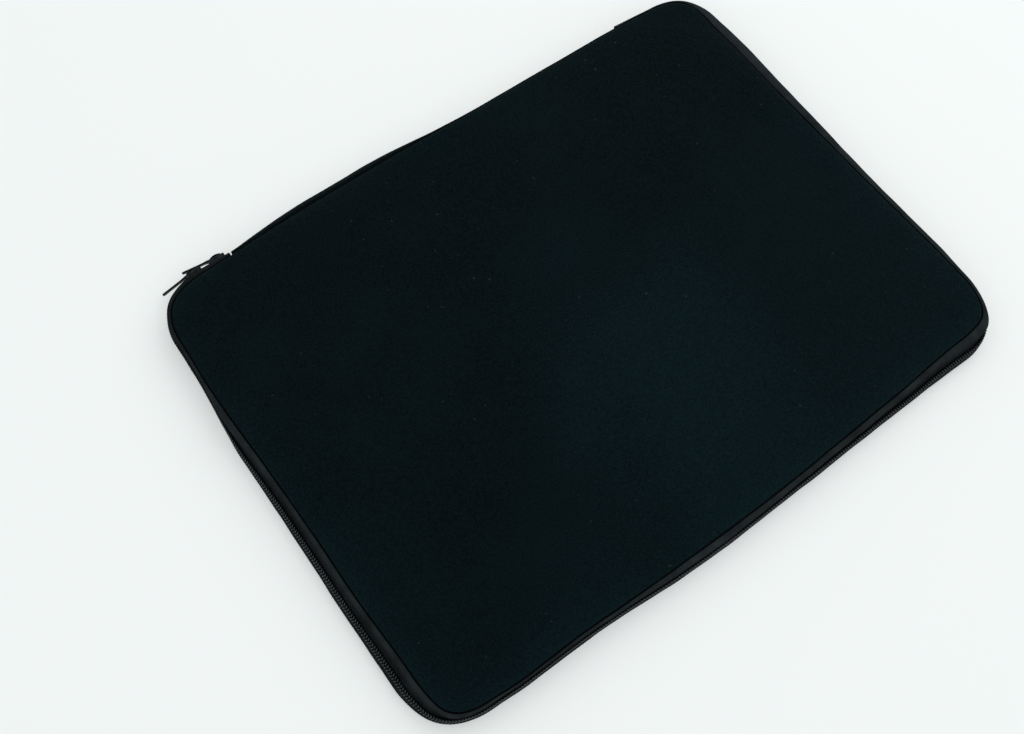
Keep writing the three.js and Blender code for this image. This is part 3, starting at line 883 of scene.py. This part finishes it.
def slow_sag(flat):
    """The unevenness of an empty sleeve that lies flat: long shallow waves across the panel."""
    x, y = flat.T
    waves = np.sin(x / 41 + 0.6) * np.cos(y / 33 - 0.4) + 0.6 * np.sin(x / 23 - y / 29 + 2.1)
    return -0.25 + 0.22 * waves


def ring_height(half, flat, depth, height):
    """Where a layer's point lies: the front panel's waves die out at the seam, and the back is flat."""
    if half == "back":
        return np.full(len(flat), height)
    fade = smoothstep(0, PATCH_DEPTH, depth)
    return height + puff.at(flat) + fade * slow_sag(flat)


def panel_layer(name, half, side, profile, material):
    """A closed layer from a profile of depths and heights that runs over its edge, top to bottom."""
    points, normals, seam = outline.at(patch.places)
    pucker = PUCKER * np.cos(2 * math.pi * patch.places / PUCKER_LENGTH + 2 * np.sin(patch.places / 31))
    count = len(patch.places)
    rows = []
    for depth, height in profile:
        flat = points - normals * (seam + depth)[:, None]
        up = ring_height(half, flat, depth, height) + pucker * math.exp(-depth / 2.5)
        rows.append(np.column_stack([flat, MID_HEIGHT + side * up]))
    for height in (profile[0][1], profile[-1][1]):
        up = ring_height(half, patch.inside, PATCH_DEPTH, height)
        rows.append(np.column_stack([patch.inside, MID_HEIGHT + side * up]))
    inside_start = len(profile) * count
    last_ring = (len(profile) - 1) * count
    faces = [*strip_faces(len(profile), count, closed_columns=True)]
    on_rim = patch.faces < count
    top = np.where(on_rim, patch.faces, patch.faces - count + inside_start)
    bottom_start = inside_start + len(patch.inside)
    bottom = np.where(on_rim, patch.faces + last_ring, patch.faces - count + bottom_start)
    faces += [*top, *bottom[:, ::-1]]
    depths = [np.full(count, depth) for depth, _ in profile] + 2 * [patch.inside_depth]
    depths = np.concatenate(depths)
    piece = make_piece(name, np.vstack(rows), faces, material, np.column_stack([0 * depths, depths]))
    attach(piece, f"{half}_half")
    return piece


def rolled_edge(drop):
    """The curve of a panel's surface into the seam, at that distance under the outer face."""
    outer = [(12, 7.0), (8, 7.0), (5.5, 6.99), (3.6, 6.95), (2.3, 6.87), (1.5, 6.74), (0.95, 6.52)]
    outer += [(0.66, 6.2), (0.54, 5.8)]
    return [(max(depth, drop) + 0.6 * drop * (depth < 2), height - drop) for depth, height in outer]


def add_panel(half, side):
    seam_turn = [(0.48, 5.3), (0.5, 4.75)]
    skin_edge = rolled_edge(0) + seam_turn + [(0.85, 4.7)] + rolled_edge(SKIN_THICKNESS)[::-1]
    skin = panel_layer(f"{half}_panel_skin", half, side, skin_edge, MATERIALS["face_fabric"])
    stand_for(skin, f"{half}_face_fabric")

    foam_top = PANEL_HALF_HEIGHT - SKIN_THICKNESS - GLUE_LINE
    foam_bottom = foam_top - FOAM_THICKNESS
    foam_edge = [(12, foam_top), (6, foam_top), (3, foam_top - 0.1), (2, foam_top - 0.5)]
    foam_edge += [(1.7, foam_top - 1.3), (1.7, foam_bottom + 0.4), (2.4, foam_bottom), (12, foam_bottom)]
    foam = panel_layer(f"{half}_panel_foam", half, side, foam_edge, MATERIALS["foam"])
    stand_for(foam, f"{half}_foam_core")

    lining_top = foam_bottom - GLUE_LINE
    lining_bottom = lining_top - LINING_THICKNESS
    lining_edge = [(12, lining_top), (4, lining_top), (2.2, lining_top), (2.0, lining_top - 0.2)]
    lining_edge += [(2.2, lining_bottom), (4, lining_bottom), (12, lining_bottom)]
    lining = panel_layer(f"{half}_inner_lining", half, side, lining_edge, MATERIALS["lining"])
    stand_for(lining, f"{half}_lining")

    return lining_bottom


def add_binding(half, side, lining_bottom):
    """A ribbon sewn over the raw edges inside, all the way round."""
    places = patch.places
    _, _, seam = outline.at(places)
    near, far = BINDING_DEPTH
    top = lining_bottom - 0.1
    depths = np.array([near, near + 0.4, (near + far) / 2, far - 0.3, far, far - 0.4, near + 0.5])
    heights = np.array([0.2, 0, 0, 0, -0.35, -BINDING_THICKNESS, -BINDING_THICKNESS])
    inset = seam[:, None] + depths
    up = top + np.broadcast_to(heights, inset.shape) + 0.08 * np.sin(places / 2.2)[:, None]
    rows, columns = inset.shape
    grid = wall_points(places, inset, up, side)
    faces = strip_faces(rows, columns, closed_rows=True, closed_columns=True)
    across = np.concatenate([[0], np.cumsum(np.hypot(np.diff(depths), np.diff(heights)))])
    uvs = np.stack(np.broadcast_arrays(places[:, None], across[None, :]), axis=2).reshape(-1, 2)
    ribbon = make_piece(f"{half}_binding_ribbon", grid.reshape(-1, 3), faces, MATERIALS["binding"], uvs)
    stand_for(ribbon, f"{half}_binding_tape")
    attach(ribbon, f"{half}_half")


# ---- the spine strip --------------------------------------------------------------------------------


def spine_stand_out(x):
    """How far the strip stands out past the outline: it bulges near the sliders and is taut elsewhere."""
    rising = smoothstep(*SPINE_RISE, x)
    falling = 1 - smoothstep(*SPINE_FALL, x)
    return SPINE_FLAT + SPINE_BULGE * rising * falling


def add_spine_layer(name, depth_in, thickness, node, slot):
    start, end = (outline.spine_distance(x) for x in (ZIP_END_RIGHT - 1, ZIP_END_LEFT + 1))
    places = np.linspace(start, end, round((end - start) / STATION_STEP))
    points, _, seam = outline.at(places)
    out = spine_stand_out(points[:, 0]) + soft_waves(places, 0.15, 11)
    angle = np.radians(np.linspace(-SPINE_ARCH, SPINE_ARCH, 25))

    def arch(inward):
        reach = np.maximum(seam - 0.05 + out - inward, 0.6)[:, None]
        inset = seam[:, None] - 0.05 - reach * np.cos(angle)
        height = np.broadcast_to((TAPE_HALF_HEIGHT - inward) * np.sin(angle), inset.shape)
        return inset, height

    outer, inner = arch(depth_in), arch(depth_in + thickness)
    inset = np.hstack([outer[0], inner[0][:, ::-1]])
    height = np.hstack([outer[1], inner[1][:, ::-1]])
    layer = sweep_band(name, places, inset, height, 1, MATERIALS[slot])
    stand_for(layer, node)
    bend_with_spine(layer)
    return layer


def add_spine():
    add_spine_layer("spine_skin", 0, SKIN_THICKNESS, "spine_face_fabric", "face_fabric")
    foam_in = SKIN_THICKNESS + GLUE_LINE
    foam = add_spine_layer("spine_foam", foam_in, SPINE_FOAM_THICKNESS, "spine_foam_core", "foam")
    lining_in = foam_in + SPINE_FOAM_THICKNESS + GLUE_LINE
    add_spine_layer("spine_inner", lining_in, LINING_THICKNESS, "spine_lining", "lining")


# ---- sliders ----------------------------------------------------------------------------------------


def finish_sliders():
    """The CAD sliders keep their shape and get rounded edges and worn lacquer with painted shade."""
    for name in ("slider_a_body", "slider_b_body"):
        node = frame["nodes"][name]
        node.data.materials.clear()
        node.data.materials.append(MATERIALS["slider_metal"])
        weld = node.modifiers.new("joined triangles", "WELD")
        weld.merge_threshold = 0.01 * MM
        flat = node.modifiers.new("whole faces", "DECIMATE")
        flat.decimate_type = "DISSOLVE"
        flat.angle_limit = math.radians(1)
        bevel = node.modifiers.new("rounded edges", "BEVEL")
        bevel.width = SLIDER_BEVEL * MM
        bevel.segments = 3
        bevel.limit_method = "ANGLE"
        bevel.angle_limit = math.radians(32)
        bevel.harden_normals = False


def tab_outline():
    """Half the outline of a pull tab, as (distance from its crossbar, half width) pairs."""
    points = [(-0.6, 1.2), (-0.5, 1.7), (-0.1, 1.95), (4.6, 1.95), (5.6, 1.75), (6.8, 1.3), (9, 1.2)]
    tip_centre = TAB_LENGTH - TAB_TIP_RADIUS
    for degrees in range(100, 0, -12):
        angle = math.radians(degrees)
        along = tip_centre + TAB_TIP_RADIUS * math.cos(angle)
        points.append((along, TAB_TIP_RADIUS * math.sin(angle)))
    return points


def add_pull_tab(letter, turn, lift):
    """A thin loose tab that leans over on its crossbar, so that it shows its edge from above."""
    half = tab_outline()
    around = [(-x, y) for x, y in half] + [(-x, -y) for x, y in reversed(half)]
    window = [(-0.5, 1.3), (-4.9, 1.3), (-4.9, -1.3), (-0.5, -1.3)]
    flat = bpy.data.curves.new("tab", "CURVE")
    flat.dimensions = "2D"
    flat.fill_mode = "BOTH"
    flat.extrude = (TAB_THICKNESS / 2 - TAB_EDGE_RADIUS) * MM
    flat.bevel_depth = TAB_EDGE_RADIUS * MM
    flat.bevel_resolution = 2
    flat.offset = -TAB_EDGE_RADIUS * MM
    for loop in (around, window):
        spline = flat.splines.new("POLY")
        spline.points.add(len(loop) - 1)
        for point, (x, y) in zip(spline.points, loop):
            point.co = (x * MM, y * MM, 0, 1)
        spline.use_cyclic_u = True
    holder = bpy.data.objects.new("tab", flat)
    mesh = bpy.data.meshes.new_from_object(holder)
    bpy.data.objects.remove(holder)
    mesh.name = f"slider_{letter}_tab"
    swing = next(j for j in frame["joints"] if j["name"] == f"pull_{letter}_swing")
    turns = [(turn, "Z"), (-lift, "Z"), (-TAB_DROOP, "Y"), (TAB_LEAN + 90, "X")]
    placing = Matrix.Translation(swing["pos_m"])
    for degrees, axis in turns:
        placing = placing @ Matrix.Rotation(math.radians(degrees), 4, axis)
    mesh.transform(placing)
    bm = bmesh.new()
    bm.from_mesh(mesh)
    bmesh.ops.remove_doubles(bm, verts=bm.verts, dist=0.002 * MM)
    bmesh.ops.recalc_face_normals(bm, faces=bm.faces)
    bm.to_mesh(mesh)
    bm.free()
    mesh.materials.clear()
    mesh.materials.append(MATERIALS["slider_metal"])
    tab = bpy.data.objects.new(mesh.name, mesh)
    bpy.context.scene.collection.objects.link(tab)
    stand_for(tab, f"slider_{letter}_pull")
    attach(tab, f"pull_{letter}")


# ---- camera, light and floor ------------------------------------------------------------------------

VIEW_AZIMUTH = -34.81
VIEW_ELEVATION = 68.39
VIEW_ROLL = -0.52
EYE = (-154.5, -163.8, 494.6)
LENS = 37.09
FLOOR_HALF = 3.0  # metres
FLOOR_DROP = 0.2
SKY_STRENGTH = 0.74
KEY_PLACE = (1.25, 0.25, 1.2)  # metres
KEY_SIZE = 1.4
KEY_POWER = 6


def add_camera():
    azimuth, elevation, roll = (math.radians(a) for a in (VIEW_AZIMUTH, VIEW_ELEVATION, VIEW_ROLL))
    level = math.cos(elevation)
    back = Vector((math.sin(azimuth) * level, -math.cos(azimuth) * level, math.sin(elevation)))
    right = (-back).cross(Vector((0, 0, 1))).normalized()
    up = right.cross(-back)
    turned_right = right * math.cos(roll) + up * math.sin(roll)
    turned_up = up * math.cos(roll) - right * math.sin(roll)
    data = bpy.data.cameras.new("camera")
    data.sensor_width = 36
    data.lens = LENS
    data.clip_start = 0.01
    data.clip_end = 20
    camera = bpy.data.objects.new("camera", data)
    axes = Matrix((turned_right, turned_up, back)).transposed().to_4x4()
    camera.matrix_world = Matrix.Translation(Vector(EYE) * MM) @ axes
    bpy.context.scene.collection.objects.link(camera)
    bpy.context.scene.camera = camera


def add_floor():
    half = FLOOR_HALF
    corners = [(-half, -half, 0), (half, -half, 0), (half, half, 0), (-half, half, 0)]
    mesh = bpy.data.meshes.new("floor")
    mesh.from_pydata(corners, [], [(0, 1, 2, 3)])
    mesh.materials.append(floor_material())
    floor = bpy.data.objects.new("floor", mesh)
    floor.location.z = -FLOOR_DROP * MM
    bpy.context.scene.collection.objects.link(floor)


def add_key_light():
    data = bpy.data.lights.new("key", "AREA")
    data.shape = "SQUARE"
    data.size = KEY_SIZE
    data.energy = KEY_POWER
    light = bpy.data.objects.new("key", data)
    light.location = KEY_PLACE
    light.rotation_mode = "QUATERNION"
    light.rotation_quaternion = (-Vector(KEY_PLACE)).to_track_quat("-Z", "Y")
    bpy.context.scene.collection.objects.link(light)


def add_studio():
    world = bpy.data.worlds.new("studio")
    world.use_nodes = True
    sky = world.node_tree.nodes["Background"]
    sky.inputs["Color"].default_value = (0.99, 1.0, 1.0, 1)
    sky.inputs["Strength"].default_value = SKY_STRENGTH
    bpy.context.scene.world = world
    add_key_light()
    bpy.context.scene.view_settings.view_transform = "Standard"


# ---- the whole sleeve -------------------------------------------------------------------------------

add_camera()
add_floor()
add_studio()
for half, side in HALVES.items():
    lining_bottom = add_panel(half, side)
    add_binding(half, side, lining_bottom)
    add_seam_stitches(half, side)
    add_zip_tape(half, side)
    add_tape_stitches(half, side)
    add_zip_coil(half, side)
    add_filler_cord(half, side)
add_spine()
finish_sliders()
add_pull_tab("a", turn=0, lift=10.5)
add_pull_tab("b", turn=6, lift=1)
